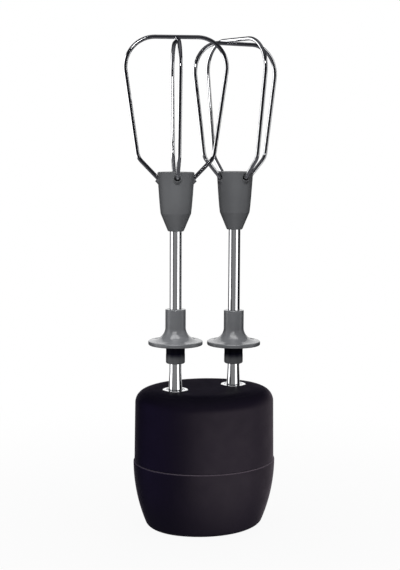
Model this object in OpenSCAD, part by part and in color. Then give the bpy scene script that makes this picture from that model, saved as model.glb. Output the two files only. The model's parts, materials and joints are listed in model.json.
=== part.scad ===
// Twin-beater attachment for a stick blender, standing on its coupling socket with both beaters up.
// Frame: origin on the socket's axis at the resting face, +Z up along the beaters,
// +X from the left spindle to the right one. All sizes are in millimetres.

/* [Gear train] */
// Distance between the two beater spindles
spindle_gap = 33; // [29:0.5:40]
// Teeth on each of the two meshed output gears
output_teeth = 33; // [30:1:36]
// Teeth on the idler's small gear, which drives the left output gear
idler_small_teeth = 10; // [9:1:11]
// Teeth on the idler's big gear
idler_big_teeth = 30; // [26:1:32]
// Teeth on the input pinion
input_teeth = 10; // [9:1:12]
// Module of the input pinion and the idler's big gear
input_module = 0.8; // [0.65:0.01:0.85]
// Face width of the first gear stage
stage1_face = 6; // [4:0.5:8]
// Face width of the second gear stage
stage2_face = 7; // [5:0.5:9]
// Play between meshed flanks, along the pitch circle
backlash = 0.16; // [0.12:0.01:0.3]

/* [Housing] */
// Wall of both housing shells
wall = 2; // [1.6:0.1:2.6]
// Room between the output gears and the housing wall
side_room = 0.7; // [0.5:0.1:4]
// How much closer the oval body's long sides lie to its axis than its ends do
slim = 3.7; // [2:0.1:6]
// Height of the body's seam above the resting face
seam_z = 33.5; // [30:0.5:38]
// Height of the free space between the bearing bridge and the bearing bosses
head_room = 14; // [10:0.5:20]
// Radius of the belly's arc, below the seam
belly_r = 83; // [70:1:120]
// Radius of the shoulder round the top
shoulder_r = 6.5; // [4:0.5:8]
// Rise of the crown round the flat top
crown_rise = 0.8; // [0.4:0.1:2]
// Step between the two shells at the seam
seam_step = 0.5; // [0.1:0.05:0.6]

/* [Coupling socket] */
// Radius of the collar that takes the blender's neck
socket_r = 20; // [18:0.5:22]
// Depth of that collar
socket_h = 9; // [7:0.5:12]
// Radius of the pocket above it, which holds the drive dog
pocket_r = 18; // [15:0.5:19.5]
// Depth of the pocket
pocket_h = 6; // [5.5:0.5:9]
// Width of the two latch windows in the collar
latch_w = 8; // [5:0.5:12]

/* [Spindles] */
// Wall of a spindle round the beater shaft that it takes
spindle_wall = 1.5; // [1.4:0.1:2]
// Radius of a spindle's lower journal
journal_r = 2.5; // [2:0.1:3]
// Depth of the socket that takes a beater shaft
grip_depth = 24.5; // [18:0.5:28]

/* [Beaters] */
// Radius of a beater's shaft
shaft_r = 3; // [2.5:0.1:3.2]
// Height of the hub's lower end above the body
hub_rise = 80; // [70:1:100]
// Length of the hub
hub_len = 29; // [24:0.5:36]
// Radius of the hub's top
hub_r = 9.1; // [8:0.1:10]
// Height of the wire cage above the hub
cage_h = 65; // [52:1:80]
// Greatest radius of the wire cage, to the wire's centre
cage_r = 24.9; // [20:0.1:27]
// Radius of the wire
wire_r = 1; // [0.8:0.05:1.2]
// Radius of the splash guard's disc
guard_r = 13.5; // [11:0.5:15]
// Height of the left splash guard above the body
left_guard_rise = 23.6; // [20:0.1:30]
// Height of the right splash guard above the body
right_guard_rise = 21.2; // [19:0.1:30]
// Turn of the left beater about its own axis, in degrees
left_turn = -21.7; // [-30:0.1:-15]
// Turn of the right beater about its own axis, in degrees
right_turn = 6.5; // [0:0.1:15]

/* [Hidden] */
$fn = 96;
eps = 0.01;
fit = 0.05;          // radial running clearance of every turning fit
play = 0.3;          // axial play between stacked turning parts
pressure_angle = 25;
addendum = 0.8;      // both in modules
dedendum = 1;

// ---- gear positions ----
output_module = spindle_gap / output_teeth;
output_tip = tip_radius(output_module, output_teeth);
input_to_idler = input_module * (input_teeth + idler_big_teeth) / 2;
idler_to_output = output_module * (idler_small_teeth + output_teeth) / 2;
idler_x = (pow(idler_to_output, 2) - pow(input_to_idler, 2)) / spindle_gap - spindle_gap / 4;
idler_y = sqrt(pow(input_to_idler, 2) - pow(idler_x, 2));
idler_pos = [idler_x, idler_y];
left_pos = [-spindle_gap / 2, 0];
right_pos = [spindle_gap / 2, 0];

left_phase = 0;
right_phase = meshed_phase(left_phase, 0, output_teeth, output_teeth);
small_phase = meshed_phase(left_phase, atan2(idler_y, idler_x + spindle_gap / 2),
                           output_teeth, idler_small_teeth);
big_phase = 0;
pinion_phase = meshed_phase(big_phase, atan2(-idler_y, -idler_x), idler_big_teeth, input_teeth);

// ---- levels, stacked up from the resting face ----
floor_t = 3;
floor_z = socket_h + pocket_h;
floor_top = floor_z + floor_t;
bush_stand = 3;                                  // how far the floor's bosses stand up
stage1_z = floor_top + bush_stand + 0.8;
stage2_z = stage1_z + stage1_face + 3;
bridge_z = stage2_z + stage2_face + 2;
bridge_t = 2.5;
bridge_top = bridge_z + bridge_t;
boss_z = bridge_top + head_room;
bush_h = 8;
seal_h = 2.2;
top_z = boss_z + bush_h + seal_h + wall + 1;     // where the collars sit
shoulder_z = top_z - shoulder_r;

// ---- spindles and what seals round them ----
spindle_r = shaft_r + spindle_wall;
upper_bush_r = spindle_r + 2.5;
collar_gap = 0.15;                               // between a collar and the spindle that turns in it
collar_bore_r = spindle_r + collar_gap;
collar_skirt_r = collar_bore_r + 1.05;
collar_lip = 0.7;                                // thickness of the collar's flange, and its overhang
collar_r = collar_skirt_r + collar_lip;

// ---- oval body ----
seam_r = spindle_gap / 2 + output_tip + side_room + wall;
upper_seam_r = seam_r - seam_step;
upper_lean = 0.4;                                // how much narrower the upper shell is at its shoulder
shoulder_edge = upper_seam_r - upper_lean;
foot_fillet = 3.5;
lap = 3;                                         // height of the lap joint at the seam
lap_t = wall / 2;
shoulder_mid = shoulder_edge - shoulder_r;
shoulder_turn = 83;
deck_z = shoulder_z + shoulder_r * sin(shoulder_turn) + crown_rise;
crown_r = spindle_gap / 2 + collar_r + 0.6;

// The oval is drawn with four arcs: two round its ends and two along its sides.
end_offset = 1.7 * slim;                         // from the axis to the centre of an end's arc
side_offset = (pow(end_offset, 2) - pow(end_offset - slim, 2)) / (2 * (end_offset - slim));
end_turn = atan2(side_offset, end_offset);       // half the angle of an end's arc
hair = 0.01;                                     // how far the ends lie inside the sides

// ---- fasteners and small parts ----
pillar_r = 2.6;
pillar_pos = [spindle_gap / 2 + 1, output_tip + pillar_r + 0.6];
screw_r = 1.2;
screw_len = 9;
screw_head_r = 2.3;
screw_head_h = 1.6;
axle_r = 1.5;
input_r = 2;
input_bush_r = 4;
lower_bush_r = 4.2;
boss_wall = 2;
dog_r = 6;
dog_h = 5;
clip_z = top_z - 16;
groove_depth = 0.35;

// ---- beater levels ----
hub_z = top_z + hub_rise;
hub_top = hub_z + hub_len;
cage_top = hub_top + cage_h;
shaft_z = top_z - grip_depth;                    // lower end of the beater shaft at rest
shaft_wall = 0.8;
shaft_top = hub_z + hub_len * 0.55;
ear_reach = 0.75;
ear_t = 1.4;
ear_low = top_z - 3;
spindle_top = deck_z + 0.1;
ear_high = spindle_top - 0.4;
flare_seat = 0.1;                                // gap under the shaft's flare, which rests on the spindle
shaft_flare = 0.4;
shaft_flare_h = 9;
sleeve_r = 4.75;
ferrule_drop = 9.4;                              // how far the sleeve reaches below its guard
drip_band = 4.6;
disc_t = 2;
rim_corner = 0.5;
neck_r = 5.05;
neck_h = 15.8;

// ---- wire loop, as corners in its own plane: out from the hub, up and over ----
loop_slope = 0.144;
corner_r = 14.5;
knee_r = 8;
knee_rise = 7;
exit_angle = 46;                                 // of the wire where it leaves the hub, from level
knee_u = cage_r - 0.15 - loop_slope * (cage_h - 15 - knee_rise);
shoulder_u = knee_u + loop_slope * (cage_h - knee_rise);
exit_depth = 7.8;
exit_u = knee_u - (knee_rise + exit_depth) / tan(exit_angle);

function tip_radius(m, z) = m * (z / 2 + addendum);
function root_radius(m, z) = m * (z / 2 - dedendum);
function involute(a) = tan(a) * 180 / PI - a;

// The angle of a tooth of gear b that meshes with gear a, where a has a tooth at phase_a
// and b lies in direction beta from a.
function meshed_phase(phase_a, beta, teeth_a, teeth_b) =
    beta + 180 - (phase_a - beta) * teeth_a / teeth_b + 180 / teeth_b;

// Points of one involute gear, tooth by tooth, counter-clockwise.
function tooth_half_angle(m, z, r) =
    let (base = m * z / 2 * cos(pressure_angle),
         at_pitch = 90 / z - backlash / (m * z) * 90 / PI)
    at_pitch + involute(pressure_angle) - involute(acos(min(1, base / r)));
function flank_radii(m, z) =
    let (start = max(root_radius(m, z), m * z / 2 * cos(pressure_angle)), tip = tip_radius(m, z))
    [for (i = [0:3]) start + (tip - start) * i / 3];
function gear_points(m, z) =
    let (radii = flank_radii(m, z), root = root_radius(m, z))
    [for (t = [0:z - 1])
        let (a = 360 * t / z, low = tooth_half_angle(m, z, radii[0]))
        each concat(
            [polar(root, a - low)],
            [for (r = radii) polar(r, a - tooth_half_angle(m, z, r))],
            [for (i = [3:-1:0]) polar(radii[i], a + tooth_half_angle(m, z, radii[i]))],
            [polar(root, a + low)])];
function polar(r, a) = [r * cos(a), r * sin(a)];
function arc(centre, r, from, to, steps = 8) =
    [for (i = [0:steps]) centre + polar(r, from + (to - from) * i / steps)];

// Outer radius of the body along its length, at height z up to the shoulder.
function belly(z) = seam_r - belly_r + sqrt(pow(belly_r, 2) - pow(seam_z - z, 2));

// Side profiles of the shells, grown inwards by t, as points from the bottom up.
function belly_side(t, low, high, steps = 7) =
    [for (i = [0:steps]) let (z = low + (high - low) * i / steps) [belly(z) - t, z]];
function foot_corner(t) =
    let (lean = asin((seam_z - foot_fillet) / belly_r), r = foot_fillet,
         centre = [belly(foot_fillet * (1 - sin(lean))) - r * cos(lean), r])
    arc(centre, r - t, -90, -lean, 5);
function top_corner(t) =
    arc([shoulder_mid, shoulder_z], shoulder_r - t, 0, shoulder_turn, 7);
function reversed(v) = [for (i = [len(v) - 1:-1:0]) v[i]];

// Sections of the two shells, as thin as t on every side.
function lower_section(t) =
    concat([[0, t]], foot_corner(t), belly_side(t, foot_fillet, seam_z - lap),
           [[seam_r - t, seam_z - t], [seam_r - lap_t + t, seam_z - t],
            [seam_r - lap_t + t, seam_z - lap - t]],
           reversed(belly_side(wall - t, foot_fillet + 1, seam_z - lap - t)),
           [[belly(foot_fillet) - wall - 1.2, wall - t], [0, wall - t]]);
function upper_section(t) =
    concat([[seam_r - wall + t, seam_z - lap + 0.2 + t],
            [seam_r - lap_t - fit - t, seam_z - lap + 0.2 + t],
            [seam_r - lap_t - fit - t, seam_z + t], [upper_seam_r - t, seam_z + t]],
           top_corner(t),
           [[crown_r, deck_z - t], [0, deck_z - t], [0, deck_z - wall + t],
            [crown_r - 1, deck_z - wall + t]],
           reversed(top_corner(wall - t)),
           [[upper_seam_r - wall + t, seam_z + 1], [seam_r - wall + t, seam_z]]);
function band_section(r_in, r_out, z_low, z_high, t) =
    [[r_in + t, z_low + t], [r_out - t, z_low + t], [r_out - t, z_high - t], [r_in + t, z_high - t]];

// Turns a section into an oval ring: sides takes the section as drawn, ends takes it a hair thinner.
module oval(sides, ends) {
    reach = 0.25;
    for (side = [90, 270])
        rotate(side)
            translate([-side_offset, 0, 0])
                rotate(end_turn - 90)
                    rotate_extrude(angle = 180 - 2 * end_turn)
                        polygon([for (p = sides) [p[0] > 0 ? p[0] + side_offset - slim : 0, p[1]]]);
    for (end = [0, 180])
        rotate(end)
            translate([end_offset, 0, 0])
                rotate(-end_turn - reach)
                    rotate_extrude(angle = 2 * (end_turn + reach))
                        polygon([for (p = ends) [max(0, p[0] - end_offset), p[1]]]);
}

module at(pos, z = 0) {
    translate([pos[0], pos[1], z])
        children();
}

module both_spindles(z = 0) {
    for (p = [left_pos, right_pos])
        at(p, z)
            children();
}

module four_pillars(z = 0) {
    for (x = [-1, 1], y = [-1, 1])
        at([x * pillar_pos[0], y * pillar_pos[1]], z)
            children();
}

module ring(r_out, r_in, h) {
    difference() {
        cylinder(r = r_out, h = h);
        translate([0, 0, -1])
            cylinder(r = r_in, h = h + 2);
    }
}

module gear(m, z, h, bore) {
    difference() {
        linear_extrude(h)
            polygon(gear_points(m, z));
        translate([0, 0, -1])
            cylinder(r = bore, h = h + 2);
    }
}

// ---- housing ----
tab_w = 8;
tab_t = 1.2;
tab_drop = 7;
tab_angle = 40;
tab_inset = pow(tab_w, 2) / (8 * (seam_r - wall - end_offset)) + pow(tab_drop, 2) / (2 * belly_r) + 0.15;

// The four places where the upper shell's snap tabs run down inside the lower shell's wall.
module on_wall(z) {
    for (end = [0, 180], a = [-tab_angle, tab_angle])
        rotate(end)
            translate([end_offset, 0, 0])
                rotate(a)
                    translate([seam_r - wall - end_offset, 0, z])
                        children();
}

module lower_housing() {
    pillar_low = floor_z - 7;
    color([0.075, 0.065, 0.085])
    difference() {
        union() {
            oval(lower_section(0), lower_section(hair));
            cylinder(r = socket_r + wall, h = floor_top);
            four_pillars(pillar_low)
                cylinder(r = pillar_r, h = bridge_z - pillar_low);
            for (x = [-1, 1], y = [-1, 1])
                rotate(atan2(y * pillar_pos[1], x * pillar_pos[0]))
                    translate([pocket_r + 0.5, -1, pillar_low])
                        cube([norm(pillar_pos) - pocket_r - 0.5, 2, floor_top - pillar_low - 0.5]);
            both_spindles(floor_z)
                cylinder(r = lower_bush_r + boss_wall, h = floor_t + bush_stand);
            at(idler_pos, floor_z)
                cylinder(r = axle_r + boss_wall, h = floor_t + bush_stand);
            translate([0, 0, floor_z])
                cylinder(r = input_bush_r + boss_wall, h = floor_t + bush_stand);
        }
        translate([0, 0, -1])
            cylinder(r = socket_r, h = socket_h + 1);
        translate([0, 0, -1])
            cylinder(r = pocket_r, h = floor_z + 1);
        for (side = [0, 180])
            rotate(side)
                translate([socket_r - 1, -latch_w / 2, socket_h * 0.4])
                    cube([1 + wall * 0.6, latch_w, socket_h * 0.4]);
        translate([0, 0, floor_z - 1])
            cylinder(r = input_bush_r, h = floor_t + bush_stand + 2);
        both_spindles(floor_z + 1)
            cylinder(r = lower_bush_r, h = floor_t + bush_stand);
        at(idler_pos, floor_z + 1)
            cylinder(r = axle_r, h = floor_t + bush_stand);
        four_pillars(bridge_z - screw_len)
            cylinder(r = screw_r, h = screw_len + 1);
        on_wall(seam_z - tab_drop - 0.2)
            translate([-3, -tab_w / 2 - 0.5, 0])
                cube([3.6, tab_w + 1, 2.3]);
    }
}

module upper_housing() {
    color([0.085, 0.075, 0.095])
    difference() {
        union() {
            oval(upper_section(0), upper_section(hair));
            on_wall(seam_z - tab_drop)
                translate([-tab_inset - tab_t, -tab_w / 2, 0]) {
                    cube([tab_t, tab_w, tab_drop + 3]);
                    translate([tab_t - 0.1, 0, 0])
                        cube([tab_inset + 0.55, tab_w, 1.6]);
                    translate([0, 0, tab_drop + 0.3])
                        cube([tab_inset + tab_t + 0.8, tab_w, 2.7]);
                }
            both_spindles(boss_z)
                cylinder(r = upper_bush_r + boss_wall, h = deck_z - wall / 2 - boss_z);
        }
        both_spindles(boss_z - 1)
            cylinder(r = upper_bush_r, h = bush_h + seal_h + 1);
        both_spindles(boss_z)
            cylinder(r = collar_skirt_r, h = top_z);
        both_spindles(deck_z - collar_lip)
            cylinder(r = collar_r + 0.1, h = top_z);
    }
}

module housing_gasket() {
    in = seam_r - wall + 0.25;
    out = seam_r - lap_t - 0.1;
    color([0.12, 0.12, 0.13])
        oval(band_section(in, out, seam_z - lap, seam_z - lap + 0.2, 0),
             band_section(in, out, seam_z - lap, seam_z - lap + 0.2, hair));
}

module gear_bridge() {
    foot = pillar_r + 1.6;
    color([0.78, 0.78, 0.75])
    difference() {
        translate([0, 0, bridge_z])
            linear_extrude(bridge_t)
                union() {
                    square([2 * (pillar_pos[0] + foot), 2 * pillar_pos[1]], center = true);
                    square([2 * pillar_pos[0], 2 * (pillar_pos[1] + foot)], center = true);
                    for (x = [-1, 1], y = [-1, 1])
                        translate([x * pillar_pos[0], y * pillar_pos[1]])
                            circle(r = foot);
                }
        both_spindles(bridge_z - 1)
            cylinder(r = spindle_r + 0.3, h = bridge_t + 2);
        at(idler_pos, bridge_z - 1)
            cylinder(r = axle_r, h = bridge_t + 2);
        four_pillars(bridge_z - 1)
            cylinder(r = screw_r + 0.2, h = bridge_t + 2);
        translate([0, -pillar_pos[1] * 0.62, bridge_z - 1])
            cylinder(r = 4, h = bridge_t + 2);
    }
}

module bridge_screws() {
    color([0.8, 0.8, 0.82])
    four_pillars() {
        difference() {
            union() {
                translate([0, 0, bridge_top - screw_len + 1])
                    cylinder(r = screw_r, h = screw_len);
                translate([0, 0, bridge_top])
                    cylinder(r1 = screw_head_r, r2 = screw_head_r * 0.8, h = screw_head_h);
            }
            for (a = [0, 90])
                rotate(a)
                    translate([-screw_head_r * 0.6, -0.25, bridge_top + screw_head_h - 0.8])
                        cube([screw_head_r * 1.2, 0.5, 1]);
        }
    }
}

module idler_axle() {
    color([0.75, 0.75, 0.78])
        at(idler_pos, floor_z + 1)
            cylinder(r = axle_r, h = bridge_top - floor_z - 1);
}

module input_bush() {
    color([0.72, 0.5, 0.28])
        translate([0, 0, floor_z])
            ring(input_bush_r, input_r + fit, floor_t + bush_stand);
}

module lower_bush(pos) {
    color([0.72, 0.5, 0.28])
        at(pos, floor_z + 1)
            ring(lower_bush_r, journal_r + fit, floor_t + bush_stand - 1);
}

module upper_bush(pos) {
    color([0.72, 0.5, 0.28])
        at(pos, boss_z)
            ring(upper_bush_r, spindle_r + fit, bush_h);
}

module shaft_seal(pos) {
    color([0.1, 0.1, 0.1])
        at(pos, boss_z + bush_h)
            difference() {
                cylinder(r = upper_bush_r, h = seal_h);
                translate([0, 0, -1])
                    cylinder(r = spindle_r + fit, h = seal_h + 2);
                translate([0, 0, -1])
                    ring(upper_bush_r - 1, spindle_r + 0.8, 2.2);
            }
}

module collar(pos) {
    color([0.88, 0.88, 0.9])
        at(pos)
            rotate_extrude()
                polygon(concat(
                    [[collar_bore_r, boss_z + bush_h + seal_h], [collar_skirt_r, boss_z + bush_h + seal_h],
                     [collar_skirt_r, deck_z - collar_lip], [collar_r, deck_z - collar_lip]],
                    arc([collar_r - 0.3, deck_z - 0.1], 0.3, 0, 90, 3),
                    [[collar_bore_r + 0.5, deck_z + 0.2], [collar_bore_r, deck_z - 0.2]]));
}

// ---- input drive ----
module drive_dog() {
    color([0.85, 0.85, 0.82])
        translate([0, 0, floor_z - dog_h - 0.5])
            difference() {
                linear_extrude(dog_h)
                    union() {
                        circle(r = dog_r * 0.62);
                        for (a = [0:60:300])
                            rotate(a)
                                translate([dog_r * 0.5, -0.8])
                                    square([dog_r * 0.5, 1.6]);
                    }
                translate([0, 0, 1])
                    cylinder(r = input_r, h = dog_h);
            }
}

module input_shaft() {
    color([0.75, 0.75, 0.78])
        translate([0, 0, floor_z - dog_h + 0.5])
            cylinder(r = input_r, h = stage1_z + stage1_face + 1.5 - floor_z + dog_h - 0.5);
}

module input_pinion() {
    color([0.7, 0.62, 0.4])
        translate([0, 0, stage1_z])
            rotate(pinion_phase)
                gear(input_module, input_teeth, stage1_face, input_r);
}

module input_clip() {
    color([0.6, 0.6, 0.62])
        translate([0, 0, stage1_z + stage1_face])
            difference() {
                ring(input_r + 1.2, input_r, 0.6);
                translate([0, -0.9, -1])
                    cube([input_r + 2, 1.8, 3]);
            }
}

// ---- idler: a big gear and a small one on one sleeve ----
module idler_gear() {
    color([0.92, 0.9, 0.84])
        at(idler_pos)
            difference() {
                translate([0, 0, stage1_z])
                    rotate(big_phase)
                        gear(input_module, idler_big_teeth, stage1_face, axle_r + 1.5);
                for (a = [0:60:300])
                    rotate(a)
                        translate([root_radius(input_module, idler_big_teeth) * 0.62, 0, stage1_z - 1])
                            cylinder(r = 1.8, h = stage1_face + 2);
            }
}

module idler_pinion() {
    color([0.7, 0.62, 0.4])
        at(idler_pos)
            union() {
                translate([0, 0, stage1_z])
                    ring(axle_r + 1.5, axle_r + fit, stage2_z - stage1_z);
                translate([0, 0, stage2_z])
                    rotate(small_phase)
                        gear(output_module, idler_small_teeth, stage2_face, axle_r + fit);
                translate([0, 0, stage2_z + stage2_face - eps])
                    ring(axle_r + 1.5, axle_r + fit, bridge_z - play - stage2_z - stage2_face + eps);
            }
}

module idler_washer() {
    color([0.8, 0.8, 0.82])
        at(idler_pos, stage1_z - 0.5)
            ring(axle_r + 1.4, axle_r + fit, 0.5);
}

// ---- spindles ----
module spindle(pos) {
    low = floor_top + bush_stand + play;
    color([0.72, 0.72, 0.75])
        at(pos)
            difference() {
                union() {
                    translate([0, 0, floor_z + 1 + play])
                        cylinder(r = journal_r, h = low - floor_z - 1);
                    translate([0, 0, low])
                        cylinder(r = spindle_r, h = spindle_top - low);
                }
                translate([0, 0, shaft_z])
                    cylinder(r = shaft_r + fit, h = spindle_top);
                translate([0, 0, clip_z])
                    ring(spindle_r + 1, spindle_r - 0.9, 1.2);
                translate([-1.6, -spindle_r - 1, clip_z])
                    cube([3.2, 2 * spindle_r + 2, 1.2]);
                for (a = [0, 180])
                    rotate(a + ear_turn(pos))
                        translate([0, -ear_t / 2 - 0.2, ear_low - 0.2])
                            cube([shaft_r + ear_reach + 0.15, ear_t + 0.4, top_z]);
            }
}

function ear_turn(pos) = pos[0] < 0 ? left_turn : right_turn;

module output_gear(pos, phase) {
    hub = spindle_r + 2.5;
    recess = 2.2;                                // of the web, on each side
    rim = root_radius(output_module, output_teeth) - 2;
    color([0.93, 0.91, 0.85])
        at(pos, stage2_z)
            union() {
                difference() {
                    rotate(phase)
                        gear(output_module, output_teeth, stage2_face, spindle_r);
                    translate([0, 0, stage2_face - recess])
                        ring(rim, hub, recess + 1);
                    translate([0, 0, -1])
                        ring(rim, hub, recess + 1);
                }
                ring(hub, spindle_r, bridge_z - play - stage2_z);
            }
}

// A snap wire in the spindle's groove, with two flats that reach the shaft's groove.
module detent_clip(pos) {
    color([0.6, 0.6, 0.62])
        at(pos, clip_z + 0.1)
            difference() {
                union() {
                    ring(spindle_r + 0.3, spindle_r - 0.85, 1);
                    intersection() {
                        cylinder(r = spindle_r, h = 1);
                        for (y = [-1, 1])
                            translate([-1.5, y > 0 ? shaft_r + 2 * fit : -spindle_r, 0])
                                cube([3, spindle_r - shaft_r - 2 * fit, 1]);
                    }
                }
                rotate(20)
                    translate([0, -0.9, -1])
                        cube([spindle_r + 2, 1.8, 3]);
            }
}

// ---- beaters ----
// The shaft is a tube with two pressed ears that drop into the spindle's slots, and a flare above
// them that rests on the spindle's mouth.
module beater_shaft(pos, turn) {
    color([0.86, 0.86, 0.88])
        at(pos)
            difference() {
                union() {
                    translate([0, 0, shaft_z + 0.6])
                        cylinder(r = shaft_r, h = shaft_top - shaft_z - 0.6);
                    translate([0, 0, shaft_z])
                        cylinder(r1 = shaft_r - 0.6, r2 = shaft_r, h = 0.6);
                    for (a = [0, 180])
                        rotate(a + turn)
                            translate([0, ear_t / 2, 0])
                                rotate([90, 0, 0])
                                    linear_extrude(ear_t)
                                        polygon([[0, ear_low], [shaft_r + ear_reach, ear_low],
                                                 [shaft_r + ear_reach, ear_high - 1],
                                                 [shaft_r - 0.1, ear_high], [0, ear_high]]);
                    translate([0, 0, spindle_top + flare_seat])
                        cylinder(r1 = shaft_r + shaft_flare, r2 = shaft_r, h = shaft_flare_h);
                }
                translate([0, 0, shaft_z - 1])
                    cylinder(r = shaft_r - shaft_wall, h = shaft_top - shaft_z + 2);
                translate([0, 0, clip_z])
                    ring(shaft_r + 1, shaft_r - groove_depth, 1.2);
            }
}

module splash_guard(pos, rise) {
    z = top_z + rise;
    flare_r = 6.5;
    color([0.36, 0.37, 0.39])
        at(pos)
            rotate_extrude()
                polygon(concat(
                    [[shaft_r, z]],
                    arc([guard_r - rim_corner, z + rim_corner], rim_corner, -90, 0, 3),
                    arc([guard_r - rim_corner, z + disc_t - rim_corner], rim_corner, 0, 80, 3),
                    flare(z + disc_t, flare_r),
                    arc([neck_r - 0.4, z + disc_t + neck_h - 0.4], 0.4, 0, 90, 2),
                    [[shaft_r, z + disc_t + neck_h]]));
}

// The guard's upper face, rising in a hollow curve from the disc to the neck.
function flare(z, r) =
    let (span = guard_r - 0.8 - neck_r)
    [for (i = [1:9]) let (a = 90 * i / 9)
        [neck_r + span * (1 - sin(a)), z + 0.1 + r * (1 - cos(a))]];

module drip_ring(pos, rise) {
    color([0.06, 0.06, 0.08])
        at(pos, top_z + rise - drip_band)
            ring(sleeve_r - 0.05, shaft_r, drip_band);
}

module ferrule(pos, rise) {
    low = top_z + rise - ferrule_drop;
    color([0.33, 0.34, 0.36])
        at(pos)
            rotate_extrude()
                polygon(concat(
                    [[shaft_r, low]],
                    arc([sleeve_r - 1, low + 1], 1, -90, 0, 4),
                    [[sleeve_r, low + ferrule_drop - drip_band],
                     [shaft_r, low + ferrule_drop - drip_band]]));
}

hub_foot_r = 4;
hub_waist_r = 7.5;
hub_waist = 0.3;                                 // height of the waist, as a share of the hub
lip_r = 2;                                       // of the boss round each wire, where it leaves the hub

module hub(pos, turn) {
    color([0.38, 0.39, 0.41])
        at(pos)
            difference() {
                union() {
                    rotate_extrude()
                        polygon(concat(
                            [[0, hub_z], [hub_foot_r - 0.3, hub_z], [hub_foot_r, hub_z + 0.3]],
                            [for (i = [0:6]) hub_side(i / 6)],
                            [[hub_r - 0.4, hub_top], [0, hub_top]]));
                    intersection() {
                        for (a = [0:90:270])
                            rotate(a + turn)
                                wire_boss();
                        translate([0, 0, hub_z + hub_len / 2])
                            cylinder(r = hub_r + 3, h = hub_len / 2 - 0.2);
                    }
                }
                translate([0, 0, hub_z - 1])
                    cylinder(r = shaft_r, h = shaft_top - hub_z + 1);
                for (a = [0:90:270])
                    rotate(a + turn)
                        wire_hole();
            }
}

// The hub's side, from its waist up to the rim.
function hub_side(s) =
    [hub_waist_r + (hub_r - hub_waist_r) * pow(s, 0.8),
     hub_z + hub_len * (hub_waist + (1 - hub_waist) * s) - s * 0.4];

module wire_boss() {
    translate([exit_u, 0, hub_top - exit_depth])
        rotate([0, 90 - exit_angle, 0])
            cylinder(r = lip_r, h = (hub_r - 0.3 - exit_u) / cos(exit_angle));
}

module wire_hole() {
    translate([exit_u, 0, hub_top - exit_depth])
        rotate([0, 90 - exit_angle, 0]) {
            cylinder(r = wire_r + 0.02, h = 20);
            translate([0, 0, 3.6])
                cylinder(r = wire_r + 0.6, h = 20);
        }
}

// One wire loop: five straights joined by four bends, in the plane of u and z.
// drop lowers its crown, so that two loops can cross.
module wire_loop(pos, turn, drop) {
    start = [exit_u, hub_top - exit_depth];
    knee = [knee_u, hub_top + knee_rise];
    shoulder = [shoulder_u - loop_slope * drop, cage_top - drop];
    color([0.82, 0.82, 0.84])
        at(pos)
            rotate(turn)
                union() {
                    for (side = [0, 180])
                        rotate(side) {
                            straight(start, knee, 0, bend_reach(start, knee, shoulder, knee_r));
                            bend(start, knee, shoulder, knee_r);
                            straight(knee, shoulder, bend_reach(start, knee, shoulder, knee_r),
                                     bend_reach(knee, shoulder, [0, shoulder[1]], corner_r));
                            bend(knee, shoulder, [0, shoulder[1]], corner_r);
                        }
                    straight([-shoulder[0], shoulder[1]], shoulder,
                             bend_reach(knee, shoulder, [0, shoulder[1]], corner_r),
                             bend_reach(knee, shoulder, [0, shoulder[1]], corner_r));
                }
}

// Direction from a to b in the loop's plane, in degrees, and how far a bend reaches from its corner.
function heading(a, b) = atan2(b[1] - a[1], b[0] - a[0]);
function turn_at(a, b, c) = heading(b, c) - heading(a, b);
function bend_reach(a, b, c, r) = r * tan(abs(turn_at(a, b, c)) / 2);

// A straight length of wire, which runs a little way into the bends at its ends.
module straight(a, b, cut_a, cut_b) {
    overlap = 0.15;
    from = cut_a > 0 ? cut_a - overlap : 0;
    length = norm(b - a) - from - cut_b + overlap;
    along = heading(a, b);
    translate([a[0] + from * cos(along), 0, a[1] + from * sin(along)])
        rotate([0, 90 - along, 0])
            cylinder(r = wire_r, h = length, $fn = 32);
}

module bend(a, b, c, r) {
    along = heading(a, b);
    back = bend_reach(a, b, c, r);
    from = b - back * [cos(along), sin(along)];
    centre = from + r * [-sin(along), cos(along)];
    translate([centre[0], 0, centre[1]])
        rotate([90, 0, 0])
            rotate(along - 90)
                rotate_extrude(angle = turn_at(a, b, c))
                    translate([r, 0])
                        circle(r = wire_r + bend_swell, $fn = 32);
}

crown_gap = 2 * wire_r + 0.1;
bend_swell = 0.006;                              // bent wire spreads by a hair

lower_housing();
upper_housing();
housing_gasket();
gear_bridge();
bridge_screws();
idler_axle();
input_bush();
lower_bush(left_pos);  // left_lower_bush
lower_bush(right_pos);  // right_lower_bush
upper_bush(left_pos);  // left_upper_bush
upper_bush(right_pos);  // right_upper_bush
shaft_seal(left_pos);  // left_shaft_seal
shaft_seal(right_pos);  // right_shaft_seal
collar(left_pos);  // left_collar
collar(right_pos);  // right_collar
drive_dog();
input_shaft();
input_pinion();
input_clip();
idler_gear();
idler_pinion();
idler_washer();
spindle(left_pos);  // left_spindle
output_gear(left_pos, left_phase);  // left_output_gear
detent_clip(left_pos);  // left_detent_clip
spindle(right_pos);  // right_spindle
output_gear(right_pos, right_phase);  // right_output_gear
detent_clip(right_pos);  // right_detent_clip
beater_shaft(left_pos, left_turn);  // left_beater_shaft
splash_guard(left_pos, left_guard_rise);  // left_splash_guard
drip_ring(left_pos, left_guard_rise);  // left_drip_ring
ferrule(left_pos, left_guard_rise);  // left_ferrule
hub(left_pos, left_turn);  // left_hub
wire_loop(left_pos, left_turn, 0);  // left_outer_loop
wire_loop(left_pos, left_turn + 90, crown_gap);  // left_inner_loop
beater_shaft(right_pos, right_turn);  // right_beater_shaft
splash_guard(right_pos, right_guard_rise);  // right_splash_guard
drip_ring(right_pos, right_guard_rise);  // right_drip_ring
ferrule(right_pos, right_guard_rise);  // right_ferrule
hub(right_pos, right_turn);  // right_hub
wire_loop(right_pos, right_turn + 90, 0);  // right_outer_loop
wire_loop(right_pos, right_turn, crown_gap);  // right_inner_loop
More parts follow.
